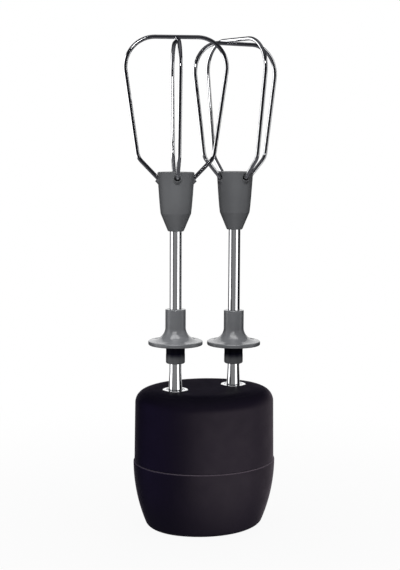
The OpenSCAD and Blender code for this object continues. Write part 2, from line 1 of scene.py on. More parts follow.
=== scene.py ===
"""Twin-beater attachment: the visual model and its studio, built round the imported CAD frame.

Shapes are worked out in millimetres in the frame's own axes and become metres when a mesh is made.
"""
import json
from math import asin, atan2, cos, degrees, hypot, pi, radians, sin, sqrt, tan

import bmesh
import bpy
from mathutils import Matrix, Vector


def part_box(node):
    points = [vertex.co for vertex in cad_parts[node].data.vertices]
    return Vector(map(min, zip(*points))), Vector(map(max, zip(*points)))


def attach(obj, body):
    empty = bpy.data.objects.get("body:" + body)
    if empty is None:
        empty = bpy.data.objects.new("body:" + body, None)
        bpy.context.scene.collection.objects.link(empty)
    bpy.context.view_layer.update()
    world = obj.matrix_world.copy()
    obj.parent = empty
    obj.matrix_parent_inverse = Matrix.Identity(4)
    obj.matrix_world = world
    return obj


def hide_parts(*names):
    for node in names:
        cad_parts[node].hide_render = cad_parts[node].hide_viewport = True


MM = 0.001
SIDES = ("left", "right")

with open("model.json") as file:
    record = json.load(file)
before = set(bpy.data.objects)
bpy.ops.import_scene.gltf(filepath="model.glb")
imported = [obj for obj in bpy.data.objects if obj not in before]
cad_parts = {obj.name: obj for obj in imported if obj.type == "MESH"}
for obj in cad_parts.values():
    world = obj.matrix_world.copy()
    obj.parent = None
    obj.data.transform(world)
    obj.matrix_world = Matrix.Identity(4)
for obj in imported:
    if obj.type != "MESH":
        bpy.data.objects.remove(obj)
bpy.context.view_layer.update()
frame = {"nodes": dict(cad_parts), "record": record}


# ---------------------------------------------------------------- sizes, read from the frame

def span(node):
    """Lowest and highest corners of a CAD node, in millimetres."""
    low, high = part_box(node)
    return low / MM, high / MM


def middle(node):
    """Centre of a CAD node's box seen from above, in millimetres."""
    low, high = span(node)
    return (low.x + high.x) / 2, (low.y + high.y) / 2


def reach(node):
    """Half the length of a CAD node's box along X."""
    low, high = span(node)
    return (high.x - low.x) / 2


seam_r = reach("lower_housing")
slim = seam_r - (span("lower_housing")[1].y - span("lower_housing")[0].y) / 2
upper_seam_r = reach("upper_housing")
lap = 3.0
seam_z = span("housing_gasket")[0].z + lap
deck_z = span("upper_housing")[1].z
collar_r = reach("left_collar")
collar_top = span("left_collar")[1].z
spindle_r = reach("left_spindle")
spindle_gap = middle("right_collar")[0] - middle("left_collar")[0]

# The sizes below are the CAD source's own values, which no box gives.
shaft_r = 3.0
wire_r = 1.0
wall = 2.0
belly_r = 83.0
shoulder_r = 6.5
shoulder_turn = 83.0
crown_rise = 0.8
crown_r = spindle_gap / 2 + collar_r + 0.6
shoulder_edge = upper_seam_r - 0.4
shoulder_z = deck_z - crown_rise - shoulder_r * sin(radians(shoulder_turn))
foot_fillet = 3.5
socket_r = 20.0
socket_h = 9.0
pocket_r = 18.0
floor_z = 15.0
floor_top = 18.0
bush_r = 4.0
latch_w = 8.0


# ---------------------------------------------------------------- outlines

def arc(centre, radius, start, end, steps):
    """Points along a circle from angle start to angle end, in degrees, both ends included."""
    angles = [radians(start + (end - start) * i / steps) for i in range(steps + 1)]
    return [(centre[0] + radius * cos(a), centre[1] + radius * sin(a)) for a in angles]


def rounded(corners, step=12.0):
    """A closed outline of corners (x, y, radius) rounded with arcs, a point every step degrees."""
    outline = []
    longest_share = 0.48
    for i, (x, y, radius) in enumerate(corners):
        before = Vector(corners[i - 1][:2]) - Vector((x, y))
        after = Vector(corners[(i + 1) % len(corners)][:2]) - Vector((x, y))
        if radius <= 0:
            outline.append((x, y))
            continue
        half = before.angle(after) / 2
        back = min(radius / tan(half), longest_share * before.length, longest_share * after.length)
        radius = back * tan(half)
        first = Vector((x, y)) + before.normalized() * back
        last = Vector((x, y)) + after.normalized() * back
        inwards = (before.normalized() + after.normalized()).normalized()
        centre = Vector((x, y)) + inwards * (radius / sin(half))
        start = atan2(first.y - centre.y, first.x - centre.x)
        turn = atan2(last.y - centre.y, last.x - centre.x) - start
        turn = (turn + pi) % (2 * pi) - pi
        steps = max(2, int(abs(degrees(turn)) / step))
        for k in range(steps + 1):
            angle = start + turn * k / steps
            outline.append((centre.x + radius * cos(angle), centre.y + radius * sin(angle)))
    return outline


# ---------------------------------------------------------------- meshes

def make_piece(name, bm, body, nodes, material, sharp=32.0):
    """Turns a bmesh in millimetres into a smooth piece that rides on a body, in place of nodes."""
    bmesh.ops.remove_doubles(bm, verts=bm.verts, dist=1e-4)
    bmesh.ops.recalc_face_normals(bm, faces=bm.faces)
    bmesh.ops.scale(bm, vec=(MM, MM, MM), verts=bm.verts)
    mesh = bpy.data.meshes.new(name)
    bm.to_mesh(mesh)
    bm.free()
    mesh.shade_smooth()
    mesh.set_sharp_from_angle(angle=radians(sharp))
    mesh.materials.append(material)
    piece = bpy.data.objects.new(name, mesh)
    bpy.context.scene.collection.objects.link(piece)
    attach(piece, body)
    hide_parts(*nodes)
    return piece


def add_ring(bm, points):
    """New vertices at a ring's points."""
    return [bm.verts.new(p) for p in points]


def join_rings(bm, a, b):
    """Quads between two closed rings with the same number of points."""
    count = len(a)
    for i in range(count):
        j = (i + 1) % count
        bm.faces.new((a[i], a[j], b[j], b[i]))


def join_column(bm, rings):
    """Quads between each ring and the next."""
    for a, b in zip(rings, rings[1:]):
        join_rings(bm, a, b)


def loop_edges(bm, ring):
    """The edges round a ring, made where they are missing."""
    pairs = [(ring[i], ring[(i + 1) % len(ring)]) for i in range(len(ring))]
    return [bm.edges.get(pair) or bm.edges.new(pair) for pair in pairs]


def fill_flat(bm, *rings):
    """Fills the flat area between one outer ring and the holes in it."""
    edges = [e for ring in rings for e in loop_edges(bm, ring)]
    bmesh.ops.triangle_fill(bm, edges=edges, use_beauty=True, use_dissolve=False)


def circle_ring(bm, centre, radius, z, count=96):
    """A level ring of points on a circle."""
    angles = [2 * pi * i / count for i in range(count)]
    return add_ring(bm, [(centre[0] + radius * cos(a), centre[1] + radius * sin(a), z)
                         for a in angles])


def turned(outline, centre, count=96):
    """A closed outline of (radius, height) turned about a vertical axis."""
    bm = bmesh.new()
    rings = [circle_ring(bm, centre, r, z, count) for r, z in outline]
    for i in range(len(rings)):
        join_rings(bm, rings[i - 1], rings[i])
    return bm


# ---------------------------------------------------------------- the oval barrel

end_offset = 1.7 * slim
side_offset = (end_offset ** 2 - (end_offset - slim) ** 2) / (2 * (end_offset - slim))
end_turn = atan2(side_offset, end_offset)


def oval_spokes(steps=40):
    """For each point of the oval: its arc's centre, how much longer its radius is, its angle."""
    spokes = []
    side_turn = pi / 2 - end_turn
    side_extra = side_offset - slim
    quarters = [(end_offset, 0, -end_offset, end_turn), (0, -side_offset, side_extra, side_turn),
                (-end_offset, 0, -end_offset, end_turn), (0, side_offset, side_extra, side_turn)]
    for quarter, (cx, cy, extra, half) in enumerate(quarters):
        start = quarter * pi / 2 - half
        spokes += [(cx, cy, extra, start + 2 * half * i / steps) for i in range(steps)]
    return spokes


SPOKES = oval_spokes()


def oval_ring(bm, r, z):
    """A ring of the oval whose half-length is r."""
    return add_ring(bm, [(cx + (r + extra) * cos(a), cy + (r + extra) * sin(a), z)
                         for cx, cy, extra, a in SPOKES])


def belly(z):
    """Half-length of the lower shell at a height."""
    return seam_r - belly_r + sqrt(belly_r ** 2 - (seam_z - z) ** 2)


def belly_side(inset, low, high, steps):
    """The lower shell's side from one height to another, set in by a wall."""
    levels = [low + (high - low) * i / steps for i in range(steps + 1)]
    return [(belly(z) - inset, z) for z in levels]


def foot_corner():
    """The rounded corner between the belly and the foot."""
    lean = asin((seam_z - foot_fillet) / belly_r)
    edge = belly(foot_fillet * (1 - sin(lean)))
    centre = (edge - foot_fillet * cos(lean), foot_fillet)
    return arc(centre, foot_fillet, -90, -degrees(lean), 10)


def shoulder(inset):
    """The rounded corner between the upper shell's side and its crown, set in by a wall."""
    centre = (shoulder_edge - shoulder_r, shoulder_z)
    return arc(centre, shoulder_r - inset, 0, shoulder_turn, 16)


def crown(start):
    """The low rise from the shoulder to the flat deck, as a smooth curve."""
    steps = 8
    r0, z0 = start
    points = []
    for i in range(1, steps + 1):
        s = i / steps
        points.append((r0 + (crown_r - r0) * s, z0 + (deck_z - z0) * (1 - (1 - s) ** 2)))
    return points


def collar_seat(bm, side):
    """The stepped hole that a collar drops into, as rings from the deck down through the wall."""
    centre = middle(side + "_collar")
    seat_z = collar_top - 0.9
    seat_r = collar_r + 0.12
    throat_r = collar_r - 0.7
    levels = [(collar_r + 0.22, deck_z), (seat_r, deck_z - 0.1), (seat_r, seat_z),
              (throat_r, seat_z), (throat_r, deck_z - wall)]
    column = [circle_ring(bm, centre, r, z) for r, z in levels]
    join_column(bm, column)
    return column


def upper_shell(material):
    """Upper shell: lip, seam edge, side, shoulder, crown, deck with collar seats, and inside."""
    bm = bmesh.new()
    lip_r = seam_r - 1.1
    lip_z = seam_z - lap + 0.3
    edge_r = 0.25
    side_low = seam_z + edge_r
    side_steps = 12
    lip = [(seam_r - wall, seam_z), (seam_r - wall, lip_z), (lip_r, lip_z), (lip_r, seam_z)]
    edge = arc((upper_seam_r - edge_r, side_low), edge_r, -90, 0, 4)
    side = [(upper_seam_r - (upper_seam_r - shoulder_edge) * i / side_steps,
             side_low + (shoulder_z - seam_z - edge_r) * i / side_steps)
            for i in range(1, side_steps)]
    outer = lip + edge + side + shoulder(0)
    outer += crown(outer[-1])
    rings = [oval_ring(bm, r, z) for r, z in outer]
    inner = ([(crown_r - 1, deck_z - wall)] + shoulder(wall)[::-1]
             + [(upper_seam_r - wall, seam_z + 1)])
    inner_rings = [oval_ring(bm, r, z) for r, z in inner]
    join_column(bm, rings)
    join_column(bm, inner_rings)
    join_rings(bm, inner_rings[-1], rings[0])
    seats = [collar_seat(bm, name) for name in SIDES]
    fill_flat(bm, rings[-1], *[seat[0] for seat in seats])
    fill_flat(bm, inner_rings[0], *[seat[-1] for seat in seats])
    return make_piece("shell_upper", bm, "housing", ["upper_housing"], material)


def coupling_socket(bm, mouth, count):
    """The socket's wall, with two latch windows sunk in it, then its pocket, floor and boss."""
    window_low, window_high, window_depth = socket_h * 0.4, socket_h * 0.8, 1.2
    window_row = 3
    levels = [(socket_r + 0.2, 0.15), (socket_r, 0.6), (socket_r, window_low),
              (socket_r, window_high), (socket_r, socket_h), (pocket_r + 0.3, socket_h),
              (pocket_r, socket_h + 0.3), (pocket_r, floor_z - 0.5), (pocket_r - 0.5, floor_z),
              (bush_r, floor_z), (bush_r, floor_top), (socket_r + wall, floor_top),
              (socket_r + wall, wall)]
    column = [mouth] + [circle_ring(bm, (0, 0), r, z, count) for r, z in levels]
    windows = []
    half_window = asin(latch_w / 2 / socket_r)
    for k, (a, b) in enumerate(zip(column, column[1:])):
        for i in range(count):
            j = (i + 1) % count
            face = bm.faces.new((a[i], a[j], b[j], b[i]))
            angle = 2 * pi * (i + 0.5) / count
            off_axis = min(abs(sin(angle / 2)), abs(cos(angle / 2)))
            if k == window_row and off_axis < sin(half_window / 2):
                windows.append(face)
    grown = bmesh.ops.extrude_face_region(bm, geom=windows)
    bmesh.ops.delete(bm, geom=windows, context="FACES_ONLY")
    for v in [g for g in grown["geom"] if isinstance(g, bmesh.types.BMVert)]:
        v.co.xy *= (socket_r + window_depth) / socket_r
    return column


def lower_shell(material):
    """Lower shell: seam edge, belly, foot, the coupling socket, and its inside."""
    bm = bmesh.new()
    edge_r = 0.45
    belly_top = seam_z - 0.5
    rim_r = seam_r - 1
    socket_count = 128
    edge = arc((seam_r - edge_r, seam_z - edge_r), edge_r, 90, 0, 6)
    outer = edge + belly_side(0, foot_fillet, belly_top, 24)[::-1] + foot_corner()[::-1]
    rings = [oval_ring(bm, r, z) for r, z in outer]
    join_column(bm, rings)
    mouth = circle_ring(bm, (0, 0), socket_r + 0.6, 0, socket_count)
    fill_flat(bm, rings[-1], mouth)
    column = coupling_socket(bm, mouth, socket_count)
    inner = ([(belly(foot_fillet) - wall - 1.2, wall)]
             + belly_side(wall, foot_fillet + 1, seam_z - lap, 16)
             + [(rim_r, seam_z - lap), (rim_r, seam_z)])
    inner_rings = [oval_ring(bm, r, z) for r, z in inner]
    join_column(bm, inner_rings)
    fill_flat(bm, inner_rings[0], column[-1])
    join_rings(bm, inner_rings[-1], rings[0])
    return make_piece("shell_lower", bm, "housing", ["lower_housing"], material)


# ---------------------------------------------------------------- collars and beaters

def collar(side, material):
    """Chrome collar: a flat polished flange with a rolled outer edge, over a plain skirt."""
    low, high = span(side + "_collar")
    bore = spindle_r + 0.15
    skirt_r = collar_r - 0.75
    under_flange = high.z - 0.85
    outline = rounded([(bore, low.z, 0.1), (skirt_r, low.z, 0.1), (skirt_r, under_flange, 0),
                       (collar_r, under_flange, 0.1), (collar_r, high.z, 0.35),
                       (bore, high.z, 0.12)])
    bm = turned(outline, middle(side + "_collar"))
    return make_piece(side + "_collar_ring", bm, "housing", [side + "_collar"], material)


def ear_bulge(z, low, high):
    """How far a pressed ear stands out at a height between its ends."""
    height, lead_in, lead_out = 0.75, 0.4, 1.4
    rise = min((z - low) / lead_in, (high - z) / lead_out, 1.0)
    return height * max(0.0, rise) ** 0.7


def shaft(side, turn, material):
    """Beater shaft: a tube with two ears inside the spindle and a flare that rests on its mouth."""
    centre = middle(side + "_drip_ring")
    low, high = span(side + "_beater_shaft")
    mouth = span(side + "_spindle")[1].z
    ear_low, ear_high = mouth - 3.85, mouth - 0.4
    seat = mouth + 0.1
    flare, flare_h, flare_edge = 0.39, 8.9, 0.1
    groove_z = low.z + 9.1
    groove_r = shaft_r - 0.35
    bore_r = shaft_r - 0.8
    ear_sharpness = 9
    count = 72
    steps = 16
    levels = [(shaft_r - 0.6, low.z), (shaft_r, low.z + 0.6), (shaft_r, groove_z - 0.1),
              (groove_r, groove_z + 0.1), (groove_r, groove_z + 1.1), (shaft_r, groove_z + 1.3)]
    levels += [(shaft_r, ear_low + (ear_high - ear_low) * i / steps) for i in range(steps + 1)]
    levels += [(shaft_r, seat), (shaft_r + 0.3, seat), (shaft_r + flare, seat + flare_edge)]
    levels += [(shaft_r + flare * (1 - i / steps), seat + flare_edge + flare_h * i / steps)
               for i in range(1, steps + 1)]
    levels += [(shaft_r, high.z), (bore_r, high.z), (bore_r, low.z)]
    bm = bmesh.new()
    rings = []
    for r, z in levels:
        bulge = ear_bulge(z, ear_low, ear_high) if bore_r < r <= shaft_r else 0
        points = []
        for i in range(count):
            a = 2 * pi * i / count
            grown = r + bulge * abs(cos(a - radians(turn))) ** ear_sharpness
            points.append((centre[0] + grown * cos(a), centre[1] + grown * sin(a), z))
        rings.append(add_ring(bm, points))
    for i in range(len(rings)):
        join_rings(bm, rings[i - 1], rings[i])
    return make_piece(side + "_shaft_tube", bm, side + "_beater", [side + "_beater_shaft"],
                      material, sharp=25)


def splash_guard(side, material):
    """Splash guard: a thin disc with a crisp rim that sweeps up in a hollow curve into its neck."""
    low, high = span(side + "_splash_guard")
    rim = reach(side + "_splash_guard")
    neck = 5.05
    neck_edge = 0.4
    disc = 2.0
    corner = 0.5
    rise = 6.5
    steps = 20
    run = rim - 0.8 - neck
    flare_z = low.z + disc + 0.08
    sweep = [pi / 2 * i / steps for i in range(1, steps + 1)]
    flare = [(neck + run * (1 - sin(a)), flare_z + rise * (1 - cos(a))) for a in sweep]
    outline = ([(shaft_r, low.z), (neck + 0.2, low.z)]
               + arc((rim - corner, low.z + corner), corner, -85, 0, 6)
               + arc((rim - corner, low.z + disc - corner), corner, 0, 80, 6)
               + flare + arc((neck - neck_edge, high.z - neck_edge), neck_edge, 0, 90, 5)
               + [(shaft_r, high.z)])
    bm = turned(outline, middle(side + "_splash_guard"), 128)
    return make_piece(side + "_guard_disc", bm, side + "_beater", [side + "_splash_guard"],
                      material)


def drip_ring(side, material):
    """Black rubber band under the guard, barely crowned."""
    low, high = span(side + "_drip_ring")
    r = reach(side + "_drip_ring")
    edge_r = r - 0.02
    outline = rounded([(shaft_r, low.z, 0), (edge_r, low.z, 0.12), (r, (low.z + high.z) / 2, 0),
                       (edge_r, high.z, 0.12), (shaft_r, high.z, 0)])
    bm = turned(outline, middle(side + "_drip_ring"))
    return make_piece(side + "_drip_band", bm, side + "_beater", [side + "_drip_ring"], material)


def ferrule(side, material):
    """Grey sleeve below the band, with a rounded lower edge; its upper part carries painted shadow.
    """
    low, high = span(side + "_ferrule")
    r = reach(side + "_ferrule")
    outline = rounded([(shaft_r, low.z, 0.2), (r, low.z, 1.1), (r, high.z, 0.12),
                       (shaft_r, high.z, 0)], step=8)
    bm = turned(outline, middle(side + "_ferrule"))
    return make_piece(side + "_ferrule_tip", bm, side + "_beater", [side + "_ferrule"], material)


def wire_path(side, drop):
    """Corners of one loop in its own plane, from inside the hub, up, over and down again."""
    hub_top = span(side + "_hub")[1].z
    crown_z = span(side + "_outer_loop")[1].z - wire_r - drop
    cage_h = span(side + "_outer_loop")[1].z - wire_r - hub_top
    slope, knee_rise, exit_angle, exit_depth, reach_r = 0.144, 7.0, radians(46), 7.8, 24.9
    knee_r, corner_r = 8.0, 14.5
    widest_below_crown = 15
    knee_u = reach_r - 0.15 - slope * (cage_h - widest_below_crown - knee_rise)
    shoulder_u = knee_u + slope * (cage_h - knee_rise - drop)
    exit_u = knee_u - (knee_rise + exit_depth) / tan(exit_angle)
    exit_z = hub_top - exit_depth
    knee_z = hub_top + knee_rise
    return [(exit_u, exit_z, 0), (knee_u, knee_z, knee_r), (shoulder_u, crown_z, corner_r),
            (-shoulder_u, crown_z, corner_r), (-knee_u, knee_z, knee_r), (-exit_u, exit_z, 0)]


def bent(corners, step=3.0):
    """An open path with its inner corners rounded, and straights split into short lengths."""
    outline = rounded(corners, step)
    longest = 4
    path = [outline[0]]
    for a, b in zip(outline, outline[1:]):
        parts = max(1, int(hypot(b[0] - a[0], b[1] - a[1]) / longest))
        path += [(a[0] + (b[0] - a[0]) * i / parts, a[1] + (b[1] - a[1]) * i / parts)
                 for i in range(1, parts + 1)]
    return path


def wire_loop(side, which, turn, drop, material):
    """One wire loop, swept along its bent path in the plane that stands at an angle of turn."""
    path = bent(wire_path(side, drop))
    centre = middle(side + "_drip_ring")
    along = Vector((cos(radians(turn)), sin(radians(turn)), 0))
    across = Vector((-along.y, along.x, 0))
    up = Vector((0, 0, 1))
    base = Vector((centre[0], centre[1], 0))
    sides = 28
    bm = bmesh.new()
    rings = []
    for i, (u, z) in enumerate(path):
        before = path[max(i - 1, 0)]
        after = path[min(i + 1, len(path) - 1)]
        heading = Vector((after[0] - before[0], after[1] - before[1])).normalized()
        normal = along * -heading.y + up * heading.x
        here = base + along * u + up * z
        angles = [2 * pi * k / sides for k in range(sides)]
        rings.append(add_ring(bm, [here + wire_r * (cos(a) * normal + sin(a) * across)
                                   for a in angles]))
    join_column(bm, rings)
    bm.faces.new(rings[0])
    bm.faces.new(rings[-1])
    return make_piece(f"{side}_{which}_wire", bm, side + "_beater", [f"{side}_{which}_loop"],
                      material, sharp=50)


# ---------------------------------------------------------------- materials

def new_material(name):
    """A material with its node tree, its shader and the object's own coordinates."""
    material = bpy.data.materials.new(name)
    material.use_nodes = True
    tree = material.node_tree
    shader = tree.nodes["Principled BSDF"]
    place = tree.nodes.new("ShaderNodeTexCoord")
    return material, tree, shader, place.outputs["Object"]


def noise(tree, place, scale, detail=3.0):
    """A noise factor at a scale in cycles per metre."""
    node = tree.nodes.new("ShaderNodeTexNoise")
    node.inputs["Scale"].default_value = scale
    node.inputs["Detail"].default_value = detail
    node.inputs["Roughness"].default_value = 0.55
    tree.links.new(place, node.inputs["Vector"])
    return node.outputs["Fac"]


def ramp(tree, factor, low, high, dark, light):
    """A colour ramp between two colours over part of a factor's range."""
    node = tree.nodes.new("ShaderNodeValToRGB")
    node.color_ramp.elements[0].position = low
    node.color_ramp.elements[1].position = high
    node.color_ramp.elements[0].color = (*dark, 1)
    node.color_ramp.elements[1].color = (*light, 1)
    tree.links.new(factor, node.inputs["Fac"])
    return node.outputs["Color"]


def spread(tree, factor, low, high):
    """A factor's middle range stretched to values from low to high."""
    node = tree.nodes.new("ShaderNodeMapRange")
    node.inputs["From Min"].default_value = 0.3
    node.inputs["From Max"].default_value = 0.7
    node.inputs["To Min"].default_value = low
    node.inputs["To Max"].default_value = high
    tree.links.new(factor, node.inputs["Value"])
    return node.outputs["Result"]


def bump(tree, shader, height, depth, after=None):
    """Adds a bump of that depth in metres, on top of another bump if one is given."""
    node = tree.nodes.new("ShaderNodeBump")
    node.inputs["Strength"].default_value = 1.0
    node.inputs["Distance"].default_value = depth
    tree.links.new(height, node.inputs["Height"])
    if after is not None:
        tree.links.new(after, node.inputs["Normal"])
    tree.links.new(node.outputs["Normal"], shader.inputs["Normal"])
    return node.outputs["Normal"]


def moulded(name, dark, light, rough, grain, specular=0.5):
    """Moulded plastic: slightly cloudy colour, a fine spark-eroded grain and faint flow marks."""
    material, tree, shader, place = new_material(name)
    colour = ramp(tree, noise(tree, place, 45, 4), 0.35, 0.65, dark, light)
    tree.links.new(colour, shader.inputs["Base Color"])
    gloss = spread(tree, noise(tree, place, 160), rough - 0.04, rough + 0.05)
    tree.links.new(gloss, shader.inputs["Roughness"])
    shader.inputs["Specular IOR Level"].default_value = specular
    flow = bump(tree, shader, noise(tree, place, 30, 2), 0.00002)
    bump(tree, shader, noise(tree, place, 2600, 2), grain, flow)
    return material


def shade_end(material, low, high, tone):
    """Takes a piece's colour to a tone from the share low to the share high of its own height, to
    paint light or shade along it.
    """
    tree = material.node_tree
    shader = tree.nodes["Principled BSDF"]
    place = tree.nodes.new("ShaderNodeTexCoord")
    height = tree.nodes.new("ShaderNodeSeparateXYZ")
    tree.links.new(place.outputs["Generated"], height.inputs["Vector"])
    fade = tree.nodes.new("ShaderNodeMapRange")
    fade.interpolation_type = "SMOOTHSTEP"
    fade.inputs["From Min"].default_value = low
    fade.inputs["From Max"].default_value = high
    tree.links.new(height.outputs["Z"], fade.inputs["Value"])
    mix = tree.nodes.new("ShaderNodeMix")
    mix.data_type = "RGBA"
    mix.inputs["B"].default_value = (*tone, 1)
    tree.links.new(fade.outputs["Result"], mix.inputs["Factor"])
    tree.links.new(shader.inputs["Base Color"].links[0].from_socket, mix.inputs["A"])
    tree.links.new(mix.outputs["Result"], shader.inputs["Base Color"])
    return material


def polished(name, tone, rough, stretch=(1, 1, 0.02)):
    """Chrome plate: polishing lines too fine to see singly, and slightly uneven gloss."""
    material, tree, shader, place = new_material(name)
    shader.inputs["Base Color"].default_value = (*tone, 1)
    shader.inputs["Metallic"].default_value = 1.0
    mapping = tree.nodes.new("ShaderNodeMapping")
    mapping.inputs["Scale"].default_value = stretch
    tree.links.new(place, mapping.inputs["Vector"])
    lines = noise(tree, mapping.outputs["Vector"], 2400, 2)
    gloss = spread(tree, noise(tree, place, 220), rough * 0.6, rough * 1.5)
    tree.links.new(gloss, shader.inputs["Roughness"])
    bump(tree, shader, lines, 0.0000006)
    return material


def turned_metal(name, tone, rough):
    """Plain machined metal with turning marks."""
    material, tree, shader, place = new_material(name)
    colour = ramp(tree, noise(tree, place, 400), 0.3, 0.7, [c * 0.85 for c in tone], tone)
    tree.links.new(colour, shader.inputs["Base Color"])
    shader.inputs["Metallic"].default_value = 1.0
    gloss = spread(tree, noise(tree, place, 900, 2), rough - 0.05, rough + 0.08)
    tree.links.new(gloss, shader.inputs["Roughness"])
    bump(tree, shader, noise(tree, place, 1800, 2), 0.000004)
    return material


def make_materials():
    """Every material, by its slot. ferrule_grey and hub_grey are shades of the guards' plastic."""
    upper = moulded("plum_black_upper", (0.0060, 0.0046, 0.0110), (0.0076, 0.0058, 0.0132),
                    0.5, 0.000010, 0.25)
    lower = moulded("plum_black_lower", (0.0060, 0.0046, 0.0108), (0.0076, 0.0058, 0.0130),
                    0.48, 0.000010, 0.25)
    sleeve = moulded("satin_grey_ferrule", (0.112, 0.115, 0.122), (0.13, 0.134, 0.14),
                     0.4, 0.000006, 0.3)
    return {
        "shell_upper": upper,
        # Painted highlight: the lower shell's top edge, at the seam, is taken to a pale tone that
        # stands in for the light line along the seam.
        "shell_lower": shade_end(lower, 0.984, 0.995, (0.115, 0.1, 0.12)),
        # Painted shadow: the ferrule's upper part is darkened to near-black navy, standing in for
        # the shade under the guard and band.
        "ferrule_grey": shade_end(sleeve, 0.45, 1.0, (0.002, 0.002, 0.012)),
        "guard_grey": moulded("satin_grey_guard", (0.125, 0.128, 0.135), (0.145, 0.149, 0.156),
                              0.16, 0.000003),
        "hub_grey": moulded("satin_grey_hub", (0.116, 0.119, 0.125), (0.135, 0.139, 0.145),
                            0.5, 0.000012, 0.3),
        "band_black": moulded("band_black", (0.0008, 0.0008, 0.0065), (0.0014, 0.0014, 0.0085),
                              0.55, 0.000006, 0.1),
        "rubber_black": moulded("seal_rubber", (0.012, 0.012, 0.012), (0.02, 0.02, 0.02),
                                0.7, 0.00002, 0.3),
        "dog_nylon": moulded("dog_nylon", (0.55, 0.54, 0.5), (0.66, 0.65, 0.61), 0.42, 0.00001),
        "gear_nylon": moulded("gear_nylon", (0.70, 0.66, 0.56), (0.78, 0.75, 0.66), 0.38, 0.00001),
        "collar_chrome": polished("collar_chrome", (0.88, 0.885, 0.9), 0.09, (1, 1, 1)),
        "shaft_chrome": polished("shaft_chrome", (0.86, 0.865, 0.88), 0.07),
        "wire_chrome": polished("wire_chrome", (0.84, 0.845, 0.86), 0.06, (1, 1, 0.1)),
        "ground_steel": turned_metal("ground_steel", (0.78, 0.78, 0.8), 0.16),
        "spring_steel": turned_metal("spring_steel", (0.34, 0.34, 0.36), 0.3),
        "pressed_steel": turned_metal("pressed_steel", (0.55, 0.55, 0.53), 0.4),
        "zinc_screws": turned_metal("zinc_screws", (0.62, 0.62, 0.6), 0.3),
        "bronze": turned_metal("bronze", (0.52, 0.33, 0.16), 0.38),
        "gear_brass": turned_metal("gear_brass", (0.66, 0.52, 0.25), 0.3),
    }


def dress_cad_nodes(materials):
    """CAD nodes that stay visible get their slot's material and smooth shading."""
    slots = {s["node"]: s["material_slot"] for s in frame["record"]["subparts"]}
    for node, piece in frame["nodes"].items():
        if piece.hide_render:
            continue
        piece.data.materials.clear()
        piece.data.materials.append(materials[slots[node]])
        piece.data.shade_smooth()
        piece.data.set_sharp_from_angle(angle=radians(30))


# ---------------------------------------------------------------- studio

CAMERA_TURN = 27.5
CAMERA_DISTANCE = 625.0
CAMERA_HEIGHT = 196.0
CAMERA_TILT = 6.75
CAMERA_SHIFT = -2.6
CAMERA_ROLL = 0.3
FOCAL_LENGTH = 79.45

away = Vector((sin(radians(CAMERA_TURN)), cos(radians(CAMERA_TURN)), 0))
rightwards = Vector((away.y, -away.x, 0))


def add_camera():
    """The photograph's viewing angle: level with the beaters and tilted down a little."""
    data = bpy.data.cameras.new("camera")
    data.sensor_width = 36
    data.lens = FOCAL_LENGTH
    data.clip_end = 50
    camera = bpy.data.objects.new("camera", data)
    bpy.context.scene.collection.objects.link(camera)
    spot = -away * CAMERA_DISTANCE + rightwards * CAMERA_SHIFT + Vector((0, 0, CAMERA_HEIGHT))
    camera.location = spot * MM
    tilt = radians(CAMERA_TILT)
    look = away * cos(tilt) - Vector((0, 0, sin(tilt)))
    turn = look.to_track_quat("-Z", "Y").to_matrix().to_4x4()
    roll = Matrix.Rotation(radians(CAMERA_ROLL), 4, "Z")
    camera.matrix_world = Matrix.Translation(camera.location) @ turn @ roll
    bpy.context.scene.camera = camera


def place_light(name, side, height, distance, size, radiance, receivers, toward, tint=(1, 1, 1),
                gloss=True):
    """A soft area light on a group. side is its bearing from the camera's, to picture-right."""
    data = bpy.data.lights.new(name, "AREA")
    data.shape = "RECTANGLE"
    data.size, data.size_y = size[0] * MM, size[1] * MM
    data.energy = radiance * pi * data.size * data.size_y
    data.color = tint
    light = bpy.data.objects.new(name, data)
    bpy.context.scene.collection.objects.link(light)
    bearing = radians(side)
    direction = -away * cos(bearing) + rightwards * sin(bearing)
    spot = direction * distance + Vector((0, 0, height))
    aim = (Vector(toward) - spot).to_track_quat("-Z", "Y").to_matrix().to_4x4()
    light.matrix_world = Matrix.Translation(spot * MM) @ aim
    light.visible_camera = False
    light.visible_glossy = gloss
    light.light_linking.receiver_collection = receivers


def receiver_group(name, pieces):
    """Pieces that a light is aimed at, the way a studio flags a light off the rest."""
    group = bpy.data.collections.new(name)
    for piece in pieces:
        group.objects.link(piece)
    return group


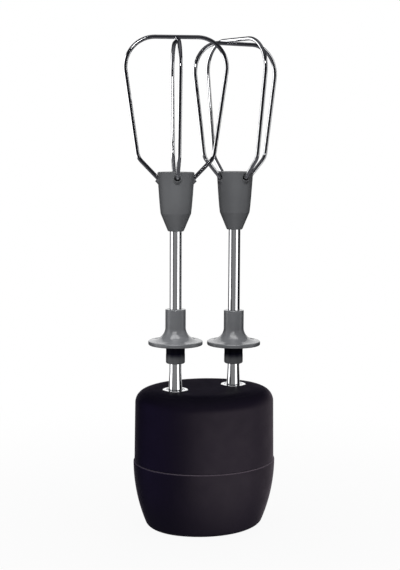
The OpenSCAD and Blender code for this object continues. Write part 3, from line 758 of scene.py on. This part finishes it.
def add_floor():
    """A pale round floor, seen only by the camera, as pale as the background further out."""
    bm = bmesh.new()
    bmesh.ops.create_circle(bm, cap_ends=True, segments=128, radius=6.0)
    mesh = bpy.data.meshes.new("floor")
    bm.to_mesh(mesh)
    bm.free()
    floor = bpy.data.objects.new("floor", mesh)
    floor.location.z = -0.0002
    bpy.context.scene.collection.objects.link(floor)
    floor.visible_diffuse = False
    floor.visible_glossy = False
    floor.visible_shadow = False
    material, tree, shader, place = new_material("floor_pale")
    shader.inputs["Base Color"].default_value = (0.93, 0.93, 0.93, 1)
    shader.inputs["Roughness"].default_value = 0.9
    shader.inputs["Specular IOR Level"].default_value = 0.1
    glow = tree.nodes.new("ShaderNodeEmission")
    glow.inputs["Color"].default_value = (1, 1, 1, 1)
    glow.inputs["Strength"].default_value = 1.0
    distance = tree.nodes.new("ShaderNodeVectorMath")
    distance.operation = "LENGTH"
    tree.links.new(place, distance.inputs[0])
    fade = tree.nodes.new("ShaderNodeMapRange")
    fade.interpolation_type = "SMOOTHSTEP"
    fade.inputs["From Min"].default_value = 0.02
    fade.inputs["From Max"].default_value = 0.3
    fade.inputs["To Min"].default_value = 0.94
    tree.links.new(distance.outputs["Value"], fade.inputs["Value"])
    mix = tree.nodes.new("ShaderNodeMixShader")
    tree.links.new(fade.outputs["Result"], mix.inputs["Fac"])
    tree.links.new(shader.outputs["BSDF"], mix.inputs[1])
    tree.links.new(glow.outputs["Emission"], mix.inputs[2])
    tree.links.new(mix.outputs["Shader"], tree.nodes["Material Output"].inputs["Surface"])
    mesh.materials.append(material)
    return receiver_group("floor_only", [floor])


def add_world():
    """White behind the object; its surfaces see a dark studio over a grey floor."""
    world = bpy.data.worlds.new("studio")
    bpy.context.scene.world = world
    world.use_nodes = True
    tree = world.node_tree
    place = tree.nodes.new("ShaderNodeTexCoord")
    height = tree.nodes.new("ShaderNodeSeparateXYZ")
    tree.links.new(place.outputs["Generated"], height.inputs["Vector"])
    shade = tree.nodes.new("ShaderNodeValToRGB")
    steps = shade.color_ramp.elements
    steps[0].position, steps[0].color = 0.1, (0.10, 0.10, 0.11, 1)
    steps[1].position, steps[1].color = 0.42, (0.010, 0.010, 0.012, 1)
    sky = steps.new(0.8)
    sky.color = (0.02, 0.02, 0.024, 1)
    top = steps.new(1.0)
    top.color = (0.12, 0.12, 0.13, 1)
    level = tree.nodes.new("ShaderNodeMapRange")
    level.inputs["From Min"].default_value = -1
    tree.links.new(height.outputs["Z"], level.inputs["Value"])
    tree.links.new(level.outputs["Result"], shade.inputs["Fac"])
    walls = tree.nodes["Background"]
    tree.links.new(shade.outputs["Color"], walls.inputs["Color"])
    walls.inputs["Strength"].default_value = 1.0
    white = tree.nodes.new("ShaderNodeBackground")
    white.inputs["Color"].default_value = (1, 1, 1, 1)
    white.inputs["Strength"].default_value = 1.0
    rays = tree.nodes.new("ShaderNodeLightPath")
    mix = tree.nodes.new("ShaderNodeMixShader")
    tree.links.new(rays.outputs["Is Camera Ray"], mix.inputs["Fac"])
    tree.links.new(walls.outputs["Background"], mix.inputs[1])
    tree.links.new(white.outputs["Background"], mix.inputs[2])
    tree.links.new(mix.outputs["Shader"], tree.nodes["World Output"].inputs["Surface"])
    bpy.context.scene.view_settings.view_transform = "Standard"


def light_shafts_and_wires(shafts, wires):
    """Long soft boxes that draw the streaks on the shafts and wires, and sparks on the bends."""
    mid, high = (0, 0, 110), (0, 0, 210)
    place_light("strip_left", -82, -30, 620, (520, 700), 1.7, shafts, mid)
    place_light("strip_right", 52, -30, 620, (440, 700), 1.7, shafts, mid)
    place_light("shaft_front", -10, -30, 620, (900, 700), 0.2, shafts, mid)
    place_light("shaft_back", 180, -30, 620, (1100, 700), 0.4, shafts, mid)
    place_light("line_left", -100, 200, 620, (600, 620), 2.2, wires, high)
    place_light("line_right", 92, 200, 620, (220, 620), 1.6, wires, high)
    place_light("spark", -4, 420, 620, (120, 80), 9.0, wires, high)


def light_grey_plastic(guards, hubs):
    """Key, fill and side lights for the guards and the hubs, and a small glint on the guards."""
    mid, neck, disc = (0, 0, 110), (0, 0, 150), (0, 0, 90)
    place_light("glint", 2, 330, 620, (28, 28), 200.0, guards, mid)
    for name, group, key, bearing in (("guards", guards, 3.8, -12), ("hubs", hubs, 6.3, 0)):
        place_light("key_" + name, bearing, 600, 620, (520, 520), key, group, neck)
        place_light("fill_" + name, 5, -300, 520, (500, 400), 1.6, group, neck)
        place_light("left_" + name, -80, 150, 620, (400, 700), 1.1, group, mid)
        place_light("right_" + name, 85, 150, 620, (300, 700), 0.7, group, mid)
        place_light("back_" + name, 180, 350, 620, (700, 500), 1.3, group, neck)
    place_light("guard_top", -10, 800, 200, (600, 500), 5.7, guards, disc)


def light_collars(collars):
    """What the collars' flat faces and rolled edges reflect, so that they read as white."""
    deck = (0, 0, 70)
    place_light("collar_back", 180, 245, 700, (800, 190), 1.15, collars, deck)
    place_light("collar_top", 0, 800, 180, (600, 600), 1.6, collars, deck)


def light_shells(shells):
    """Warm washes from picture-right and a dim violet one from the left, for the dark barrel."""
    low, deck = (0, 0, 30), (0, 0, 70)
    warm, cool = (1, 0.85, 0.92), (0.45, 0.33, 1)
    place_light("wash_front", 38, -120, 520, (1100, 560), 1.5, shells, low, warm)
    place_light("wash_side", 125, -40, 520, (900, 420), 0.45, shells, low, warm)
    place_light("wash_back", 180, -60, 620, (900, 500), 0.34, shells, low, (0.95, 0.85, 1))
    place_light("cool_left", -75, 0, 520, (800, 600), 0.36, shells, low, cool)
    place_light("cool_back", 180, 260, 700, (1200, 400), 0.045, shells, deck, (0.6, 0.5, 1))
    place_light("shell_key", 10, 700, 520, (500, 500), 3.0, shells, low, gloss=False)


# ---------------------------------------------------------------- assembly

TURNS = {"left": -21.7, "right": 6.5}


def build():
    """Makes every piece and returns the groups of pieces that share their lights."""
    materials = make_materials()
    shells = [upper_shell(materials["shell_upper"]), lower_shell(materials["shell_lower"])]
    for shell in shells:
        shell.visible_glossy = False
    guards, hubs, shafts, wires, collars = [], [], [], [], []
    chrome = materials["wire_chrome"]
    inner_drop = 2 * wire_r + 0.1
    for side in SIDES:
        turn = TURNS[side]
        outer_turn = turn if side == "left" else turn + 90
        collars.append(collar(side, materials["collar_chrome"]))
        shafts.append(shaft(side, turn, materials["shaft_chrome"]))
        guards += [splash_guard(side, materials["guard_grey"]),
                   drip_ring(side, materials["band_black"]),
                   ferrule(side, materials["ferrule_grey"])]
        wires += [wire_loop(side, "outer", outer_turn, 0.0, chrome),
                  wire_loop(side, "inner", outer_turn + 90, inner_drop, chrome)]
    dress_cad_nodes(materials)
    for node, piece in frame["nodes"].items():
        if not piece.hide_render:
            (collars if node.endswith("_spindle") else hubs).append(piece)
    groups = {"shells": shells, "guards": guards, "hubs": hubs, "shafts": shafts, "wires": wires,
              "collars": collars}
    return {name: receiver_group(name, pieces) for name, pieces in groups.items()}


light_groups = build()
add_camera()
floor_group = add_floor()
add_world()
light_shafts_and_wires(light_groups["shafts"], light_groups["wires"])
light_grey_plastic(light_groups["guards"], light_groups["hubs"])
light_collars(light_groups["collars"])
light_shells(light_groups["shells"])
place_light("floor_wash", 0, 900, 0, (1200, 1200), 0.95, floor_group, (0, 0, 0))
